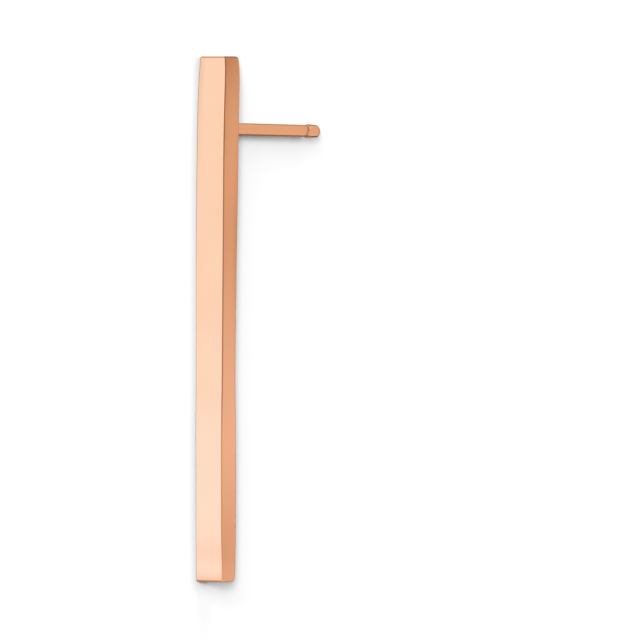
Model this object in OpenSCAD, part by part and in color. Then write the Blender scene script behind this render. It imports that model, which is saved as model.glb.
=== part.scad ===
/* [Bar] */
// Length of the bar from end to end
bar_length = 36; // [20:0.5:60]
// Width of the front face at the end with the post
top_width = 2.58; // [1.5:0.01:5]
// Width of the front face at the other end
bottom_width = 2.39; // [1.5:0.01:5]
// Thickness of the bar from its front face to its back
bar_depth = 1.47; // [0.8:0.01:3]
// How far both ends of the bar lean back from its middle
bow = 0.17; // [0.1:0.01:0.6]
// Radius of the polished edges
edge_radius = 0.08; // [0.05:0.01:0.3]
// Flats that each rounded edge is cut in
edge_flats = 3; // [1:1:5]

/* [Post] */
// Diameter of the post
post_diameter = 0.85; // [0.6:0.05:1.2]
// Length of the post from the back of the bar to its tip
post_length = 9.55; // [7:0.05:14]
// Distance from the end of the bar to the middle of the post
post_inset = 4.99; // [2:0.01:10]
// Height and width of the solder seam round the foot of the post
seam_size = 0.1; // [0.05:0.01:0.3]

/* [Notch and tip] */
// Width of the notch along the post
notch_width = 0.42; // [0.3:0.01:0.8]
// Depth of the notch below the surface of the post
notch_depth = 0.08; // [0.04:0.01:0.12]
// Length of the tip past the notch
tip_length = 0.9; // [0.5:0.01:2]
// Diameter of the tip at the notch
tip_diameter = 0.96; // [0.7:0.01:1.4]
// Diameter of the tip where its rounded end starts
tip_end_diameter = 0.88; // [0.6:0.01:1.3]
// Radius of the rounded end of the tip
tip_rounding = 0.18; // [0.05:0.01:0.25]

/* [Hidden] */

rose_gold = [0.90, 0.65, 0.50];

// The bar lies on one long side at z = 0. Its front face looks towards -X, its post points
// towards +X, and the end with the post is towards +Y. The upper long side slopes down from
// that end to the other. The bow is an arc about an axis that stands behind the bar.
middle_width = (top_width + bottom_width) / 2;
slope = atan((top_width - bottom_width) / bar_length);
bow_radius = (pow(bar_length / 2, 2) + pow(bow, 2)) / (2 * bow);
back_radius = bow_radius - bar_depth / 2;

// Cutting shapes run past the bar by this much, and reach this far from the side that they cut.
overrun = 1;
reach = max(top_width, bottom_width) + overrun;
sweep = 2 * asin((bar_length / 2 + overrun) / back_radius);

// The post stands square on the bowed back, half way up the width that the bar has there.
post_y = bar_length / 2 - post_inset;
lean = asin(post_y / back_radius);
post_root = [
    bow_radius - back_radius * cos(lean),
    post_y,
    (middle_width + post_y * tan(slope)) / 2
];
sunk_foot = bar_depth / 2;

// The notch is a round groove with the width and depth given above.
notch_middle = post_length - tip_length - notch_width / 2;
groove_radius = (pow(notch_width / 2, 2) + pow(notch_depth, 2)) / (2 * notch_depth);
groove_centre = post_diameter / 2 - notch_depth + groove_radius;

// Steps in a full turn, for the long bow and for the thin post
bow_steps = 5760;
post_steps = 64;

// Outline with a flat top of the given width at y = 0 and a rounded edge on each side of it.
// The last flat of each edge runs on outward, down to y = -depth.
module rounded_top(width, depth) {
    edge = [
        for (i = [0 : edge_flats])
            let (turn = 90 * i / edge_flats)
            [width / 2 - edge_radius + edge_radius * sin(turn), edge_radius * cos(turn) - edge_radius]
    ];
    last_flat = edge[edge_flats] - edge[edge_flats - 1];
    flank_end = edge[edge_flats] - last_flat * (depth - edge_radius) / last_flat.y;
    right = [for (i = [0 : edge_flats]) i < edge_flats ? edge[i] : flank_end];
    left = [for (i = [edge_flats : -1 : 0]) [-right[i].x, right[i].y]];
    polygon(concat(right, left));
}

// Sweeps an outline along the bow. Its x lies across the depth of the bar and its y is height.
module along_bow() {
    translate([bow_radius, 0, 0])
        rotate(180 - sweep / 2)
            rotate_extrude(angle = sweep, $fn = bow_steps)
                translate([bow_radius, 0])
                    children();
}

module front_and_back() {
    along_bow()
        translate([-bar_depth / 2, -overrun])
            square([bar_depth, reach + overrun]);
}

module lower_side() {
    along_bow()
        mirror([0, 1])
            rounded_top(bar_depth, reach);
}

module upper_side() {
    translate([0, 0, middle_width])
        rotate([slope, 0, 0])
            along_bow()
                rounded_top(bar_depth, reach);
}

// Both ends, rounded to the front and the back
module ends_in_depth() {
    translate([bow, 0, -overrun])
        linear_extrude(reach + overrun)
            intersection_for (end = [0, 1])
                mirror([0, end])
                    translate([0, bar_length / 2])
                        rounded_top(bar_depth, bar_length + overrun);
}

// One end, rounded to the two long sides
module end_in_width(width) {
    translate([bow + bar_depth, bar_length / 2, width / 2])
        rotate([0, -90, 0])
            linear_extrude(bow + 2 * bar_depth)
                rounded_top(width, bar_length + overrun);
}

module bar() {
    color(rose_gold)
        intersection() {
            front_and_back();
            lower_side();
            upper_side();
            ends_in_depth();
            end_in_width(top_width);
            mirror([0, 1, 0]) end_in_width(bottom_width);
        }
}

module post() {
    color(rose_gold) {
        difference() {
            union() {
                translate([0, 0, -sunk_foot]) cylinder(d = post_diameter, h = sunk_foot + notch_middle);
                tip();
            }
            notch();
        }
        solder_seam();
    }
}

// Swelled tip from the middle of the notch on, tapering to its rounded end
module tip() {
    flank = notch_width / 2 + tip_length - tip_rounding;
    core = tip_end_diameter / 2 - tip_rounding;
    translate([0, 0, notch_middle])
        rotate_extrude() {
            polygon([[0, 0], [tip_diameter / 2, 0], [tip_end_diameter / 2, flank], [0, flank]]);
            square([core, flank + tip_rounding]);
            translate([core, flank])
                circle(tip_rounding);
        }
}

module notch() {
    translate([0, 0, notch_middle])
        rotate_extrude()
            translate([groove_centre, 0])
                circle(groove_radius);
}

// Sloping collar of solder, sunk a little into the back of the bar
module solder_seam() {
    height = 2 * seam_size;
    translate([0, 0, -seam_size])
        cylinder(d1 = post_diameter + 2 * height, d2 = post_diameter, h = height);
}

module bar_with_post() {
    bar();
    translate(post_root)
        rotate([0, 90, -lean])
            post($fn = post_steps);
}

bar_with_post();
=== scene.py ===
"""Looks of a slim polished bar earring that lies on one long side.

Lengths are in mm, but in metres where a name ends in _M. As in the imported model, +X goes from
the front of the bar to its back, +Y to the end with the post, called the high end, and +Z up.
"""
import math

import bmesh
import bpy
from mathutils import Matrix, Vector


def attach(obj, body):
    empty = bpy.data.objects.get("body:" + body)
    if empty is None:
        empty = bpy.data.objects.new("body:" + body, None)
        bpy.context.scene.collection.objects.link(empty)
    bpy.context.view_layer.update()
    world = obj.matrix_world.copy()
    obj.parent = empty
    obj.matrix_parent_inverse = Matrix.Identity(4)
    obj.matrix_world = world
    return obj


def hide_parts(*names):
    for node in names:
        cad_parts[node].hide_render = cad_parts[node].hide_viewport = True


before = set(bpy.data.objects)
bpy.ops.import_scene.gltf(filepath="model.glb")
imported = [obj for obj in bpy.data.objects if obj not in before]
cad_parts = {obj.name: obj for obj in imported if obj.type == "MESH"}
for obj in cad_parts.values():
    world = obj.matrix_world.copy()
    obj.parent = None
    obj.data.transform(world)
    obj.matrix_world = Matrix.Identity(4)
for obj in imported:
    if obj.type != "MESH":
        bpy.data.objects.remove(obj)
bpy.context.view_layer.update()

MM = 0.001

# A bound that no direction or place reaches
FAR = 100.0

# Bar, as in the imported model
LENGTH = 36.0
TOP_WIDTH = 2.58
BOTTOM_WIDTH = 2.39
DEPTH = 1.47
BOW = 0.17
BOW_RADIUS = ((LENGTH / 2) ** 2 + BOW**2) / (2 * BOW)
MIDDLE_WIDTH = (TOP_WIDTH + BOTTOM_WIDTH) / 2
SLOPE = (TOP_WIDTH - BOTTOM_WIDTH) / LENGTH

# Hand polish, a row for each place along the bar: the place, the shifts there of the front face
# and of the back face along X, and the shifts of the upper side and of the lower side along Z
POLISH = (
    (-18.0, -0.04, -0.22, 0.03, 0.03),
    (-17.4, -0.04, -0.11, 0.035, 0.005),
    (-16.5, -0.03, -0.07, 0.035, 0.006),
    (-14.5, -0.05, 0.01, 0.015, 0.02),
    (-12.0, -0.04, 0.04, 0.0, 0.04),
    (-8.0, -0.03, 0.03, -0.005, 0.02),
    (-4.0, 0.03, -0.04, -0.005, 0.004),
    (0.0, 0.02, -0.03, 0.005, 0.005),
    (4.0, 0.0, -0.01, 0.014, 0.001),
    (8.0, -0.03, 0.02, 0.014, 0.006),
    (11.0, -0.05, 0.03, 0.0, 0.025),
    (14.0, -0.03, 0.05, -0.018, 0.015),
    (16.0, 0.01, 0.07, -0.032, 0.03),
    (17.2, 0.02, 0.04, -0.045, 0.10),
    (18.0, -0.04, -0.10, -0.058, 0.20),
)
POLISH_AT, FRONT_SHIFT, BACK_SHIFT, TOP_SHIFT, LOW_SHIFT = zip(*POLISH)

# Camera, fitted to the photograph
CAMERA_YAW = math.radians(41.17)
CAMERA_PITCH = math.radians(0.648)
CAMERA_ROLL = math.radians(0.218)
CAMERA_DISTANCE = 1000.0
CAMERA_RIGHT = -8.0554
CAMERA_UP = 0.0754
PIXELS_PER_MM = 14.589
PICTURE_WIDTH = 640
SENSOR_WIDTH = 36
CLIP_START_M = 0.1
CLIP_END_M = 10


def ease(x):
    """Smooth step from 0 to 1."""
    x = max(0.0, min(1.0, x))
    return x * x * (3 - 2 * x)


def rise(value, middle, soft):
    """Smooth step up from 0 to 1 round a middle."""
    return ease((value - middle) / soft + 0.5)


def window(value, low, high, soft):
    """1 between low and high, 0 outside, with soft flanks."""
    return rise(value, low, soft) * ease((high - value) / soft + 0.5)


def bell(off, width):
    """1 at no distance, fading out past the width."""
    return math.exp(-((off / width) ** 2))


def steepness(places, values, i):
    """Slope of the line through the neighbours of a place."""
    before, after = max(0, i - 1), min(len(places) - 1, i + 1)
    return (values[after] - values[before]) / (places[after] - places[before])


def smooth_between(places, values, at):
    """Value at a place, on a smooth curve through the given places."""
    if at <= places[0]:
        return values[0]
    for i in range(len(places) - 1):
        if at <= places[i + 1]:
            step = places[i + 1] - places[i]
            t = (at - places[i]) / step
            start = step * steepness(places, values, i) * t * (1 - t) ** 2
            end = step * steepness(places, values, i + 1) * t * t * (1 - t)
            return values[i] + (values[i + 1] - values[i]) * ease(t) + start - end
    return values[-1]


def new_piece(name, bm, flat=()):
    """Makes an object of a mesh that is smooth but for its flat faces."""
    mesh = bpy.data.meshes.new(name)
    bmesh.ops.recalc_face_normals(bm, faces=bm.faces)
    for face in bm.faces:
        face.smooth = face not in flat
    bm.to_mesh(mesh)
    bm.free()
    piece = bpy.data.objects.new(name, mesh)
    bpy.context.scene.collection.objects.link(piece)
    return piece


def skin(bm, rings):
    """Joins rings of points (x, y, z, painted shade and seam) into a tube, and gives the flat faces of
    its ends.
    """
    layer = bm.verts.layers.float.new("painted_shade_and_seam")
    made = []
    for ring in rings:
        made.append([bm.verts.new(Vector(p[:3]) * MM) for p in ring])
        for vertex, p in zip(made[-1], ring):
            vertex[layer] = p[3]
    count = len(made[0])
    for ring, following in zip(made, made[1:]):
        for i in range(count):
            j = (i + 1) % count
            bm.faces.new((ring[i], ring[j], following[j], following[i]))
    return [bm.faces.new(made[0]), bm.faces.new(made[-1])]


# Bar

CORNER_STEPS = 7
FACE_STEPS = 10
STATION_STEP = 0.2

# Distance from a rounding to the next ring or point of the flat beside it
SUPPORT = 0.03

# Roundings of the ends. The faces draw in there by these shares of the rounding.
HIGH_END_RADIUS = 0.15
LOW_END_RADIUS = 0.12
END_DRAW_X = 0.7
END_DRAW_Z = 1.3

# Radii, turns in degrees and painted shade (dark lines that stand in for reflections) of the long
# edges: lower front, upper front, upper back, lower back
EDGE_RADII = (0.09, 0.055, 0.10, 0.10)
EDGE_TURNS = ((-90, -180), (180, 90), (90, 0), (0, -90))
EDGE_SHADE = (0.8, 1.0, 0.8, 0.6)

# Least radius of those edges where the ends draw in
SHARPEST = 0.004

# How much rounder those edges get at the very ends
HIGH_END_CORNERS = (0.12, 0.0, 0.25, 0.1)
LOW_END_CORNERS = (0.12, 0.0, 0.4, 0.1)

# Painted shade along the bar, dark lines that stand in for reflections, a row for each place: the
# place, the lower front edge, the upper front edge, the front beside its lower edge, and the upper
# side beside its back edge
PAINTED_SHADE_TABLE = (
    (-17.6, 0.4, 0.0, 0.0, 0.0),
    (-15.5, 0.2, 0.35, 0.0, 0.0),
    (-8.5, 0.25, 0.4, 0.0, 0.0),
    (-5.5, 0.2, 0.85, 0.0, 0.03),
    (0.0, 0.1, 0.9, 0.0, 0.13),
    (5.0, 0.5, 0.95, 0.0, 0.33),
    (8.0, 0.9, 0.95, 0.0, 0.23),
    (18.0, 1.2, 1.0, 0.24, 0.0),
)
SHADE_AT, LOWER_FRONT_SHADE, UPPER_FRONT_SHADE, FRONT_FADE, UPPER_FADE = zip(*PAINTED_SHADE_TABLE)
FADE_WIDTH = 0.5

# Painted shade, dark lines that stand in for reflections, on the end edges of the front, upper
# side, back and lower side
HIGH_END_SHADE = (0.15, 0.8, 0.4, 0.4)
LOW_END_SHADE = (0.6, 0.1, 0.4, 0.4)

# Painted shadow on the front at the low end, where it mirrors the floor's shadow: how much, up to
# where, and its soft flank
LOW_END_FRONT_SHADOW = 0.14
TINT_END = -17.7
TINT_SOFT = 0.3


def spread(start, end):
    """Places across a flat, with one close to each of its two edges."""
    inner_start = start + math.copysign(SUPPORT, end - start)
    inner_end = end - math.copysign(SUPPORT, end - start)
    return [
        inner_start + (inner_end - inner_start) * i / FACE_STEPS for i in range(FACE_STEPS + 1)
    ]


def faded(painted_shade_and_seam, off):
    """Painted shade at a distance from the edge that it fades out from."""
    return max(0.0, painted_shade_and_seam * (1 - off / FADE_WIDTH))


def on_rounding(centre, radius, degrees):
    """Point (x, z) of a rounding."""
    turn = math.radians(degrees)
    return centre[0] + radius * math.cos(turn), centre[1] + radius * math.sin(turn)


def section(x0, x1, z0, z1, radii, painted_shade_and_seam, fades):
    """Rounded rectangle as points (x, z, painted shade, face); faces are front, upper side, back, lower
    side.
    """
    centres = (
        (x0 + radii[0], z0 + radii[0]),
        (x0 + radii[1], z1 - radii[1]),
        (x1 - radii[2], z1 - radii[2]),
        (x1 - radii[3], z0 + radii[3]),
    )
    points = []
    for n, (first, last) in enumerate(EDGE_TURNS):
        for i in range(CORNER_STEPS + 1):
            degrees = first + (last - first) * i / CORNER_STEPS
            share = 1.0 if 0 < i < CORNER_STEPS else 0.5
            points.append((*on_rounding(centres[n], radii[n], degrees), share * painted_shade_and_seam[n], n))
        x, z = points[-1][:2]
        following = (n + 1) % 4
        turns = EDGE_TURNS[following]
        next_x, next_z = on_rounding(centres[following], radii[following], turns[0])
        if abs(next_z - z) > abs(next_x - x):
            points += [(x, s, faded(fades[n], abs(s - z)), n) for s in spread(z, next_z)]
        else:
            points += [(s, z, faded(fades[n], abs(next_x - s)), n) for s in spread(x, next_x)]
    return points


def end_places(radius):
    """Rings of a rounded end: distance to the end, how far the faces draw in, share of end edge."""
    places = [(radius + SUPPORT, 0.0, 0.0)]
    for i in range(CORNER_STEPS + 1):
        turn = math.radians(90 * i / CORNER_STEPS)
        share = 0.5 if i == 0 else 1.0
        places.append((radius * (1 - math.sin(turn)), radius * (1 - math.cos(turn)), share))
    places.append((0.0, radius + SUPPORT, 0.0))
    return places


def stations():
    """Places along the bar, with how far the faces draw in there and the share of end edge."""
    half = LENGTH / 2
    low = [(off - half, inset, share) for off, inset, share in reversed(end_places(LOW_END_RADIUS))]
    high = [(half - off, inset, share) for off, inset, share in end_places(HIGH_END_RADIUS)]
    first, last = low[-1][0], high[0][0]
    count = round((last - first) / STATION_STEP)
    between = [(first + (last - first) * i / count, 0.0, 0.0) for i in range(1, count)]
    return low + between + high


def bow_shift(y):
    return BOW_RADIUS - math.sqrt(BOW_RADIUS**2 - y * y)


def bar_ring(y, inset, end_share):
    """Points of the bar's section at a place along it. The flat of the ends gets no painted shade."""
    width = MIDDLE_WIDTH + SLOPE * y
    draw_x, draw_z = END_DRAW_X * inset, END_DRAW_Z * inset
    x0 = -DEPTH / 2 + bow_shift(y) + draw_x + smooth_between(POLISH_AT, FRONT_SHIFT, y)
    x1 = DEPTH / 2 + bow_shift(y) - draw_x + smooth_between(POLISH_AT, BACK_SHIFT, y)
    z0 = draw_z + smooth_between(POLISH_AT, LOW_SHIFT, y)
    z1 = width - draw_z + smooth_between(POLISH_AT, TOP_SHIFT, y)
    drawn_in = inset / (HIGH_END_RADIUS if y > 0 else LOW_END_RADIUS)
    corners = HIGH_END_CORNERS if y > 0 else LOW_END_CORNERS
    radii = [max(SHARPEST, r - inset) + more * drawn_in for r, more in zip(EDGE_RADII, corners)]
    # Painted shade: dark lines on the edges and beside them, standing in for reflections, and a painted
    # shadow on the front at the low end
    painted_shade_and_seam = list(EDGE_SHADE)
    painted_shade_and_seam[0] *= smooth_between(SHADE_AT, LOWER_FRONT_SHADE, y)
    painted_shade_and_seam[1] *= smooth_between(SHADE_AT, UPPER_FRONT_SHADE, y)
    fades = [smooth_between(SHADE_AT, fade, y) for fade in (FRONT_FADE, UPPER_FADE)] + [0, 0]
    end_shade = HIGH_END_SHADE if y > 0 else LOW_END_SHADE
    end_shadow = LOW_END_FRONT_SHADOW * window(y, -FAR, TINT_END, TINT_SOFT)
    shown = 0.0 if drawn_in > 1 else 1.0
    ring = []
    for x, z, edge, face in section(x0, x1, z0, z1, radii, painted_shade_and_seam, fades):
        painted_dark = max(edge, end_share * end_shade[face], end_shadow if face == 0 else 0)
        ring.append((x, y, z, shown * painted_dark))
    return ring


def make_bar():
    bm = bmesh.new()
    ends = skin(bm, [bar_ring(*station) for station in stations()])
    return new_piece("bar", bm, flat=ends)


# Post. Places along it are distances from the back of the bar. Its notch lies nearer to the bar
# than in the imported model, and the post nearer to the end, as in the photograph.

POST_LENGTH = 9.55
POST_Y = 13.04
BACK_RADIUS = BOW_RADIUS - DEPTH / 2
LEAN = math.asin(POST_Y / BACK_RADIUS)
POST_ROOT = Vector((
    BOW_RADIUS - BACK_RADIUS * math.cos(LEAN),
    POST_Y,
    (MIDDLE_WIDTH + POST_Y * SLOPE) / 2,
))

# Radii of the wire at the root and at the notch, and of the tip at the notch and at its end
WIRE_RADIUS = (0.432, 0.418)
TIP_RADIUS = (0.485, 0.435)
TIP_ROUNDING = 0.18
END_GAP = 0.03
FLANK_END = POST_LENGTH - TIP_ROUNDING - END_GAP
SEAM = 0.1
SUNK = 0.4
NOTCH_MIDDLE = 8.35
NOTCH_HALF = 0.18
NOTCH_DEPTH = 0.11
NOTCH_BEFORE = 0.04
NOTCH_PAST = 0.06

# Points round the post, steps along its stretches, and radii of the rings on its flat end
ROUND_STEPS = 96
SEAM_STEPS = 8
WIRE_STEPS = 40
NOTCH_STEPS = 36
FLANK_STEPS = 8
ROUNDING_STEPS = 8
END_RINGS = (0.15, 0.07)

# Tilts of the notch and of the cut end, with the length over which each fades in
NOTCH_TILT = 0.1
NOTCH_TILT_REACH = 0.4
END_TILT = 0.06
END_TILT_START = 0.2
END_TILT_REACH = 0.3

# Painted shade on the post, and its dark seam: how deep each kind is and how far it reaches.
# The painted dark rims on the tip's flanks look along the bar, towards its low and its high end,
# and start at a share of the radius.
# Painted shade near the root, where the bar shades the post, more on the side towards the high end
ROOT_SHADE = 0.25
ROOT_SHADE_REACH = 0.5
ROOT_SHADE_EVEN = 0.6
SEAM_WEAR = 0.6
SEAM_REACH = 0.1
# Painted shade in the notch, on its flank nearer the bar
NOTCH_SHADE_OFF = 0.08
NOTCH_SHADE_REACH = 0.13
NOTCH_SHADE_SIDES = 0.15
TIP_SOFT = 0.1
# Painted dark rims on the tip's flanks, standing in for reflections
LOW_FLANK_SHADE = 0.9
HIGH_FLANK_SHADE = 0.3
FLANK_FROM = 0.7
FLANK_SOFT = 0.2
# Painted dark rim round the tip's end, standing in for a reflection
TIP_END_SHADE = 0.5
TIP_END_SHADE_BEFORE = 0.08
TIP_END_SHADE_PAST = 0.15
TIP_END_SHADE_SOFT = 0.25


def stretch(start, end, steps):
    """Places from start to end in even steps, without the start."""
    return [start + (end - start) * i / steps for i in range(1, steps + 1)]


def post_places():
    """Places along the post for the rings, from the seam to the start of the tip's rounding."""
    wire_end = NOTCH_MIDDLE - NOTCH_HALF - NOTCH_BEFORE
    notch_end = NOTCH_MIDDLE + NOTCH_HALF + NOTCH_PAST
    wire = stretch(SEAM, wire_end, WIRE_STEPS)
    notch = stretch(wire_end, notch_end, NOTCH_STEPS)
    return wire + notch + stretch(notch_end, FLANK_END, FLANK_STEPS)


def metal_radius(t):
    """Radius of the post past the seam: wire, notch, tip."""
    off = t - NOTCH_MIDDLE
    groove = (NOTCH_HALF**2 + NOTCH_DEPTH**2) / (2 * NOTCH_DEPTH)
    centre = WIRE_RADIUS[1] - NOTCH_DEPTH + groove
    cut = centre - math.sqrt(groove**2 - off**2) if abs(off) < groove else centre
    if off < 0:
        start, end = WIRE_RADIUS
        share = t / NOTCH_MIDDLE
    else:
        start, end = TIP_RADIUS
        share = off / (FLANK_END - NOTCH_MIDDLE)
    return min(start + (end - start) * share, cut)


def post_profile():
    """Places and radii of the post's rings, from its sunk foot to the middle of its end."""
    profile = [(-SUNK, WIRE_RADIUS[0] + SEAM)]
    for i in range(SEAM_STEPS + 1):
        share = i / SEAM_STEPS
        profile.append((SEAM * share, WIRE_RADIUS[0] + SEAM * (1 - share) ** 2))
    profile += [(t, metal_radius(t)) for t in post_places()]
    core = TIP_RADIUS[1] - TIP_ROUNDING
    for i in range(1, ROUNDING_STEPS + 1):
        turn = math.radians(90 * i / ROUNDING_STEPS)
        along, out = TIP_ROUNDING * math.sin(turn), TIP_ROUNDING * math.cos(turn)
        profile.append((FLANK_END + along, core + out))
    return profile + [(FLANK_END + TIP_ROUNDING, radius) for radius in END_RINGS]


def post_shade_and_seam(t, turn):
    """Browner metal: painted shade at the root, the dark seam, painted shade in the notch, and painted
    dark rims on the tip's two flanks and its end.
    """
    to_high_end = math.sin(turn)
    # Painted shade near the root
    root_shade = ROOT_SHADE * bell(t, ROOT_SHADE_REACH) * (ROOT_SHADE_EVEN + (1 - ROOT_SHADE_EVEN) * to_high_end)
    seam = SEAM_WEAR * bell(t, SEAM_REACH)
    # Painted shade in the notch
    near_flank = NOTCH_MIDDLE - NOTCH_HALF + NOTCH_SHADE_OFF
    notch_shade = (1.0 - NOTCH_SHADE_SIDES * to_high_end) * bell(t - near_flank, NOTCH_SHADE_REACH)
    # Painted dark rims on the tip's flanks and round its end, standing in for reflections
    on_tip = ease((t - NOTCH_MIDDLE) / TIP_SOFT)
    low_flank = LOW_FLANK_SHADE * ease((-to_high_end - FLANK_FROM) / FLANK_SOFT) * on_tip
    high_flank = HIGH_FLANK_SHADE * ease((to_high_end - FLANK_FROM) / FLANK_SOFT) * on_tip
    end_start, end_stop = FLANK_END - TIP_END_SHADE_BEFORE, FLANK_END + TIP_END_SHADE_PAST
    end = TIP_END_SHADE * window(t, end_start, end_stop, TIP_END_SHADE_SOFT)
    return min(1.0, root_shade + seam + notch_shade + low_flank + high_flank + end)


def post_tilt(t, radius, turn):
    """Lean of the notch and of the cut end, which are not quite square to the post."""
    notch = NOTCH_TILT * bell(t - NOTCH_MIDDLE, NOTCH_TILT_REACH)
    on_end = ease((t - FLANK_END + END_TILT_START) / END_TILT_REACH)
    return (notch - END_TILT * on_end * radius / TIP_RADIUS[1]) * math.sin(turn)


def make_post():
    axis = Vector((math.cos(LEAN), -math.sin(LEAN), 0))
    side = Vector((math.sin(LEAN), math.cos(LEAN), 0))
    up = Vector((0, 0, 1))
    rings = []
    for t, radius in post_profile():
        ring = []
        for i in range(ROUND_STEPS):
            turn = 2 * math.pi * i / ROUND_STEPS
            out = side * math.sin(turn) + up * math.cos(turn)
            place = POST_ROOT + axis * (t + post_tilt(t, radius, turn)) + out * radius
            ring.append((*place, post_shade_and_seam(t, turn)))
        rings.append(ring)
    bm = bmesh.new()
    skin(bm, rings)
    return new_piece("post", bm)


# Materials

ROSE_GOLD = (0.93, 0.61, 0.434, 1)
PALE_GOLD = (0.96, 0.66, 0.48, 1)
# Brown for painted shade, and for the post's dark seam
SHADE_AND_SEAM_GOLD = (0.42, 0.20, 0.105, 1)

# Roughness of the two pieces, and how much the fine lines lower and raise it
BAR_ROUGHNESS = 0.10
POST_ROUGHNESS = 0.12
SMOOTHEST = 0.85
ROUGHEST = 1.3

# Noises: faint blotches of the paler gold, and fine lines drawn out along an axis
BLOTCH_PER_M = 260.0
BLOTCH_DETAIL = 2.0
BLOTCH_DEPTH = 0.35
LINES_PER_M = 26000.0
LINE_DETAIL = 3.0
LINE_STRETCH = 0.004
LINE_HEIGHT_M = 0.0000015
LINE_STRENGTH = 0.3
NOISE_RANGE = (0.3, 0.7)


def link(tree, start, end):
    tree.links.new(start, end)


def noise(tree, vector, scale, detail):
    node = tree.nodes.new("ShaderNodeTexNoise")
    node.inputs["Scale"].default_value = scale
    node.inputs["Detail"].default_value = detail
    link(tree, vector, node.inputs["Vector"])
    return node.outputs["Fac"]


def mix_colours(tree, share, first, second):
    """Mixes two colours by a share; the first is a colour or another node's output."""
    node = tree.nodes.new("ShaderNodeMix")
    node.data_type = "RGBA"
    link(tree, share, node.inputs["Factor"])
    if isinstance(first, tuple):
        node.inputs["A"].default_value = first
    else:
        link(tree, first, node.inputs["A"])
    node.inputs["B"].default_value = second
    return node.outputs["Result"]


def map_range(tree, value, low, high):
    """Maps a noise's middle range to low and high."""
    node = tree.nodes.new("ShaderNodeMapRange")
    node.inputs["From Min"].default_value = NOISE_RANGE[0]
    node.inputs["From Max"].default_value = NOISE_RANGE[1]
    node.inputs["To Min"].default_value = low
    node.inputs["To Max"].default_value = high
    link(tree, value, node.inputs["Value"])
    return node.outputs["Result"]


def rose_gold(name, along, roughness):
    """Polished rose gold: faint blotches, fine lines along an axis, browner where shade is painted and
    at the post's seam.
    """
    material = bpy.data.materials.new(name)
    material.use_nodes = True
    tree = material.node_tree
    shader = tree.nodes["Principled BSDF"]
    shader.inputs["Metallic"].default_value = 1.0

    place = tree.nodes.new("ShaderNodeTexCoord").outputs["Object"]
    drawn_out = tree.nodes.new("ShaderNodeMapping")
    scale = [LINE_STRETCH if axis == along else 1.0 for axis in "XYZ"]
    drawn_out.inputs["Scale"].default_value = scale
    link(tree, place, drawn_out.inputs["Vector"])
    blotches = noise(tree, place, BLOTCH_PER_M, BLOTCH_DETAIL)
    lines = noise(tree, drawn_out.outputs["Vector"], LINES_PER_M, LINE_DETAIL)

    # Browner gold where shade is painted, and at the post's seam
    painted_shade_and_seam = tree.nodes.new("ShaderNodeAttribute")
    painted_shade_and_seam.attribute_name = "painted_shade_and_seam"
    tone = mix_colours(tree, map_range(tree, blotches, 0.0, BLOTCH_DEPTH), ROSE_GOLD, PALE_GOLD)
    colour = mix_colours(tree, painted_shade_and_seam.outputs["Fac"], tone, SHADE_AND_SEAM_GOLD)
    link(tree, colour, shader.inputs["Base Color"])
    rough = map_range(tree, lines, SMOOTHEST * roughness, ROUGHEST * roughness)
    link(tree, rough, shader.inputs["Roughness"])

    bump = tree.nodes.new("ShaderNodeBump")
    bump.inputs["Strength"].default_value = LINE_STRENGTH
    bump.inputs["Distance"].default_value = LINE_HEIGHT_M
    link(tree, lines, bump.inputs["Height"])
    link(tree, bump.outputs["Normal"], shader.inputs["Normal"])
    return material


def glow(name):
    """Light of the colour that each point of a piece has."""
    material = bpy.data.materials.new(name)
    material.use_nodes = True
    tree = material.node_tree
    tree.nodes.clear()
    output = tree.nodes.new("ShaderNodeOutputMaterial")
    emission = tree.nodes.new("ShaderNodeEmission")
    light = tree.nodes.new("ShaderNodeAttribute")
    light.attribute_name = "light"
    link(tree, light.outputs["Color"], emission.inputs["Color"])
    link(tree, emission.outputs["Emission"], output.inputs["Surface"])
    return material


# Tent. Only the polished metal sees it and the card in it. Its zones are given by the direction
# to them: u to the back, v along the bar and w up, each as low bound, high bound and soft flank.

TENT_RADIUS = 100.0
TENT_STEPS = (192, 96)

# Colour of the tent outside its zones
WARM = (0.83, 0.58, 0.425)

# Glow of the pale floor
LOW_GLOW = (0.72, 0.58, 0.48)
LOW_W = (-FAR, -0.12, 0.15)

# Strip straight above
CEILING = (1.0, 0.90, 0.82)
CEILING_W = (0.96, FAR, 0.06)
CEILING_OFF_V = (-FAR, 0.12, 0.1)

# White sheets low behind the bar and past both of its ends
WHITE = (1.0, 0.97, 0.94)
BACK_U = (0.9, FAR, 0.08)
BACK_W = (-0.1, 0.25, 0.15)
SIDES_OFF_V = (0.86, FAR, 0.15)
SIDES_U = (-0.6, -0.05, 0.2)
SIDES_W = (-0.1, 0.5, 0.2)

# Dark zone below and behind, which the rims of the post mirror, deeper towards the low end
DARK = (0.30, 0.15, 0.08)
DARK_DEPTHS = (1.0, 0.6)
DARK_U = (0.3, FAR, 0.2)
RIMS_U = (0.62, 0.95, 0.1)
RIMS_OFF_V = (0.2, FAR, 0.15)
DEEP_W = (-FAR, -0.5, 0.15)

# Brown and pale zones below the high end, which the rounding of the post's tip mirrors
BROWN = (0.60, 0.40, 0.29)
BROWN_U = (-0.65, -0.15, 0.15)
BROWN_V = (0.4, FAR, 0.15)
BROWN_W = (-FAR, -0.45, 0.15)
PALE = (1.2, 1.15, 1.1)
PALE_U = (-0.1, FAR, 0.15)
PALE_V = (0.15, FAR, 0.15)

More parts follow.
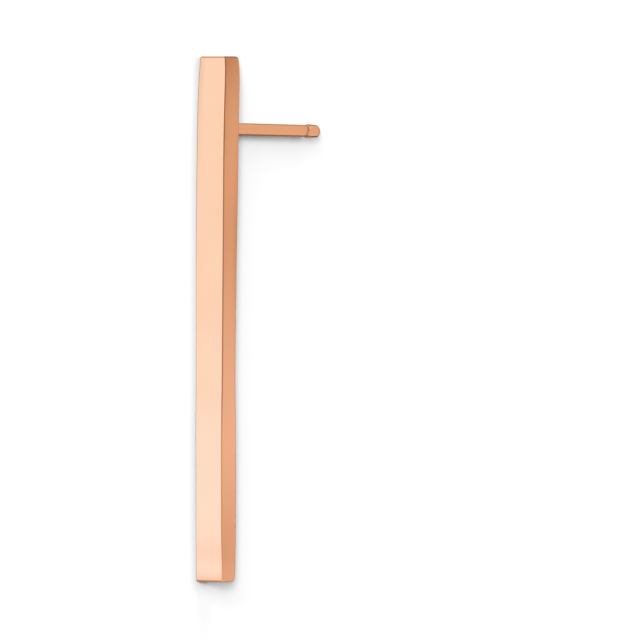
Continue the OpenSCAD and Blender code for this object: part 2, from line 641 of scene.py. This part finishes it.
# Zone that the front mirrors: warm towards the post end, cool towards the other, orange past it
FRONT_WARM = (1.06, 1.045, 1.03)
FRONT_COOL = (1.06, 1.16, 1.24)
FRONT_ORANGE = (1.12, 0.92, 0.83)
FRONT_U = (-FAR, -0.5, 0.1)
FRONT_OFF_V = (-FAR, 0.45, 0.2)
FRONT_W = (-FAR, -0.3, 0.25)
COOL_FROM = -5.5
COOL_SOFT = 6.0
ORANGE_FROM = -23.3
ORANGE_SOFT = 2.5


def blend(base, colour, share):
    return tuple(b + (c - b) * share for b, c in zip(base, colour))


def front_light(y):
    """Light that the front mirrors, at a place along the tent."""
    light = blend(FRONT_COOL, FRONT_WARM, rise(y, COOL_FROM, COOL_SOFT))
    return blend(FRONT_ORANGE, light, rise(y, ORANGE_FROM, ORANGE_SOFT))


def tent_light(p):
    """Light of the tent at a point of it."""
    u, v, w = p.normalized()
    off_v = abs(v)
    deep = window(w, *DEEP_W)
    light = blend(WARM, LOW_GLOW, window(w, *LOW_W))
    light = blend(light, CEILING, window(w, *CEILING_W) * window(off_v, *CEILING_OFF_V))
    light = blend(light, WHITE, window(u, *BACK_U) * window(w, *BACK_W))
    sides = window(off_v, *SIDES_OFF_V) * window(u, *SIDES_U) * window(w, *SIDES_W)
    light = blend(light, WHITE, sides)
    rims = min(1, window(u, *RIMS_U) * window(off_v, *RIMS_OFF_V) + deep)
    depth = DARK_DEPTHS[0] if v < 0 else DARK_DEPTHS[1]
    light = blend(light, DARK, depth * rims * window(w, *LOW_W) * window(u, *DARK_U))
    brown = window(v, *BROWN_V) * window(w, *BROWN_W) * window(u, *BROWN_U)
    light = blend(light, BROWN, brown)
    light = blend(light, PALE, window(u, *PALE_U) * window(v, *PALE_V) * deep)
    front = window(u, *FRONT_U) * window(w, *FRONT_W) * window(off_v, *FRONT_OFF_V)
    return blend(light, front_light(p.y), front)


def light_up(piece, colours):
    """Gives each point of a piece its light, and hides it from all but the polished metal."""
    layer = piece.data.attributes.new("light", "FLOAT_COLOR", "POINT")
    for point, colour in zip(layer.data, colours):
        point.color = (*colour, 1)
    piece.data.materials.append(glow(piece.name))
    piece.visible_camera = False
    piece.visible_diffuse = False
    piece.visible_shadow = False
    piece.visible_transmission = False


def make_tent():
    bm = bmesh.new()
    segments, rows = TENT_STEPS
    bmesh.ops.create_uvsphere(bm, u_segments=segments, v_segments=rows, radius=TENT_RADIUS * MM)
    tent = new_piece("light_tent", bm)
    light_up(tent, [tent_light(v.co / MM) for v in tent.data.vertices])


# Card that the upper side mirrors: pale, then gold towards the post end, with soft darker bands

CARD_DISTANCE = 95.0
CARD_HALF = 26
CARD_ACROSS = (-10.0, -6.0, -3.0, -2.5, -2.0, -1.5, -1.0, -0.6, -0.2, 0.2, 0.6)
PALE_CARD = (0.97, 0.73, 0.60)
GOLD_CARD = (0.88, 0.61, 0.42)
DEEP_CARD = (0.53, 0.28, 0.16)
GOLD_FROM = 1.0
GOLD_SOFT = 18.0

# Bands, a row for each place: the place along the card and the share of the deep colour there
BANDS = (
    (-21.0, 0.25),
    (-17.5, 0.45),
    (-12.0, 0.0),
    (-9.0, 0.0),
    (0.0, 0.24),
    (5.0, 0.38),
    (10.0, 0.1),
    (14.5, 0.0),
    (17.5, 0.4),
    (22.0, 0.95),
)
BAND_AT, BAND_DEPTH = zip(*BANDS)

# Across the card: how much lighter it gets per mm, how much more at the high end, and its edges
CARD_MIDDLE = -2.15
CARD_GAIN = 0.06
HIGH_GAIN = 0.15
HIGH_GAIN_FROM = 11.0
HIGH_GAIN_SOFT = 3.0
CARD_EDGES = (-8, -0.4, 0.9)


def card_light(across, y):
    """Light of the card at a place across and along it."""
    light = blend(PALE_CARD, GOLD_CARD, rise(y, GOLD_FROM, GOLD_SOFT))
    light = blend(light, DEEP_CARD, smooth_between(BAND_AT, BAND_DEPTH, y))
    gain = CARD_GAIN + HIGH_GAIN * rise(y, HIGH_GAIN_FROM, HIGH_GAIN_SOFT)
    light = tuple(c * (1 + gain * (across - CARD_MIDDLE)) for c in light)
    return blend(WARM, light, window(across, *CARD_EDGES))


def make_card():
    """Strip of coloured card that stands where the upper side mirrors it."""
    middle = Vector((math.cos(CAMERA_YAW), 0, math.sin(CAMERA_YAW))) * CARD_DISTANCE
    across_axis = Vector((math.sin(CAMERA_YAW), 0, -math.cos(CAMERA_YAW)))
    bm = bmesh.new()
    rows = []
    colours = []
    for y in range(-CARD_HALF, CARD_HALF + 1):
        line = [middle + across_axis * across + Vector((0, y, 0)) for across in CARD_ACROSS]
        rows.append([bm.verts.new(place * MM) for place in line])
        colours += [card_light(across, y) for across in CARD_ACROSS]
    for row, following in zip(rows, rows[1:]):
        for i in range(len(row) - 1):
            bm.faces.new((row[i], row[i + 1], following[i + 1], following[i]))
    light_up(new_piece("light_card", bm), colours)


# Floor and lamps

FLOOR_WHITE = 0.9
FLOOR_ROUGHNESS = 0.9
FLOOR_HALF_M = 2.0
FLOOR_DROP = 0.01

# Soft lamps: name, slopes to the back and to the post end, half width along and across the bar
# as an angle in radians, and share of the floor's light
SOFTBOX_DISTANCE = 5000.0
SOFTBOXES = (
    ("key", (-1.165, 0.165), 0.15, 0.09, 0.485),
    ("wide", (-1.31, 0.71), 0.27, 0.35, 0.265),
    ("overhead", (0.16, 0.203), 0.30, 0.135, 0.235),
    ("far_end", (-0.15, 2.0), 0.38, 0.10, 0.085),
)
SKY = 0.02


def make_floor():
    bm = bmesh.new()
    bmesh.ops.create_grid(bm, x_segments=2, y_segments=2, size=FLOOR_HALF_M)
    floor = new_piece("floor", bm)
    floor.location.z = -FLOOR_DROP * MM
    material = bpy.data.materials.new("pale_floor")
    material.use_nodes = True
    shader = material.node_tree.nodes["Principled BSDF"]
    shader.inputs["Base Color"].default_value = (FLOOR_WHITE, FLOOR_WHITE, FLOOR_WHITE, 1)
    shader.inputs["Roughness"].default_value = FLOOR_ROUGHNESS
    shader.inputs["Specular IOR Level"].default_value = 0.0
    floor.data.materials.append(material)
    floor.visible_glossy = False


def make_softbox(name, slopes, along, across, share):
    """Oval soft lamp that gives the floor its share of light, and that no metal mirrors."""
    away = Vector((*slopes, 1)).normalized()
    distance = SOFTBOX_DISTANCE * MM
    data = bpy.data.lights.new(name, "AREA")
    data.shape = "ELLIPSE"
    data.size = 2 * along * distance
    data.size_y = 2 * across * distance
    data.energy = share * (math.pi * distance) ** 2 / (FLOOR_WHITE * away.z)
    light = bpy.data.objects.new(name, data)
    sideways = Vector((0, 1, 0)).cross(away).normalized()
    turn = Matrix((away.cross(sideways), -sideways, away)).transposed().to_4x4()
    light.matrix_world = Matrix.Translation(away * distance) @ turn
    light.visible_glossy = False
    light.visible_camera = False
    bpy.context.scene.collection.objects.link(light)


def make_lights():
    world = bpy.data.worlds.new("studio")
    bpy.context.scene.world = world
    world.use_nodes = True
    background = world.node_tree.nodes["Background"]
    background.inputs["Color"].default_value = (1, 1, 1, 1)
    background.inputs["Strength"].default_value = SKY
    for softbox in SOFTBOXES:
        make_softbox(*softbox)


def turned(first, second, angle):
    """Two axes, turned by an angle in their plane."""
    return (
        first * math.cos(angle) + second * math.sin(angle),
        second * math.cos(angle) - first * math.sin(angle),
    )


def make_camera():
    """Camera at the photograph's angle and scale, square to the bar but for a small pitch and roll."""
    right = Vector((math.sin(CAMERA_YAW), 0, math.cos(CAMERA_YAW)))
    away = Vector((math.cos(CAMERA_YAW), 0, -math.sin(CAMERA_YAW)))
    up, away = turned(Vector((0, 1, 0)), away, CAMERA_PITCH)
    right, up = turned(right, up, CAMERA_ROLL)
    data = bpy.data.cameras.new("camera")
    data.sensor_width = SENSOR_WIDTH
    data.lens = PIXELS_PER_MM * CAMERA_DISTANCE / PICTURE_WIDTH * data.sensor_width
    data.clip_start = CLIP_START_M
    data.clip_end = CLIP_END_M
    camera = bpy.data.objects.new("camera", data)
    place = (-CAMERA_RIGHT * right - CAMERA_UP * up - CAMERA_DISTANCE * away) * MM
    turn = Matrix((right, up, -away)).transposed().to_4x4()
    camera.matrix_world = Matrix.Translation(place) @ turn
    bpy.context.scene.collection.objects.link(camera)
    bpy.context.scene.camera = camera


def main():
    bar, post = make_bar(), make_post()
    bar.data.materials.append(rose_gold("polished_rose_gold", "Y", BAR_ROUGHNESS))
    post.data.materials.append(rose_gold("drawn_rose_gold", "X", POST_ROUGHNESS))
    for piece in (bar, post):
        piece.visible_diffuse = False
        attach(piece, "root")
        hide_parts("bar_with_post")
    make_floor()
    make_tent()
    make_card()
    make_lights()
    make_camera()
    bpy.context.scene.view_settings.view_transform = "Standard"


main()
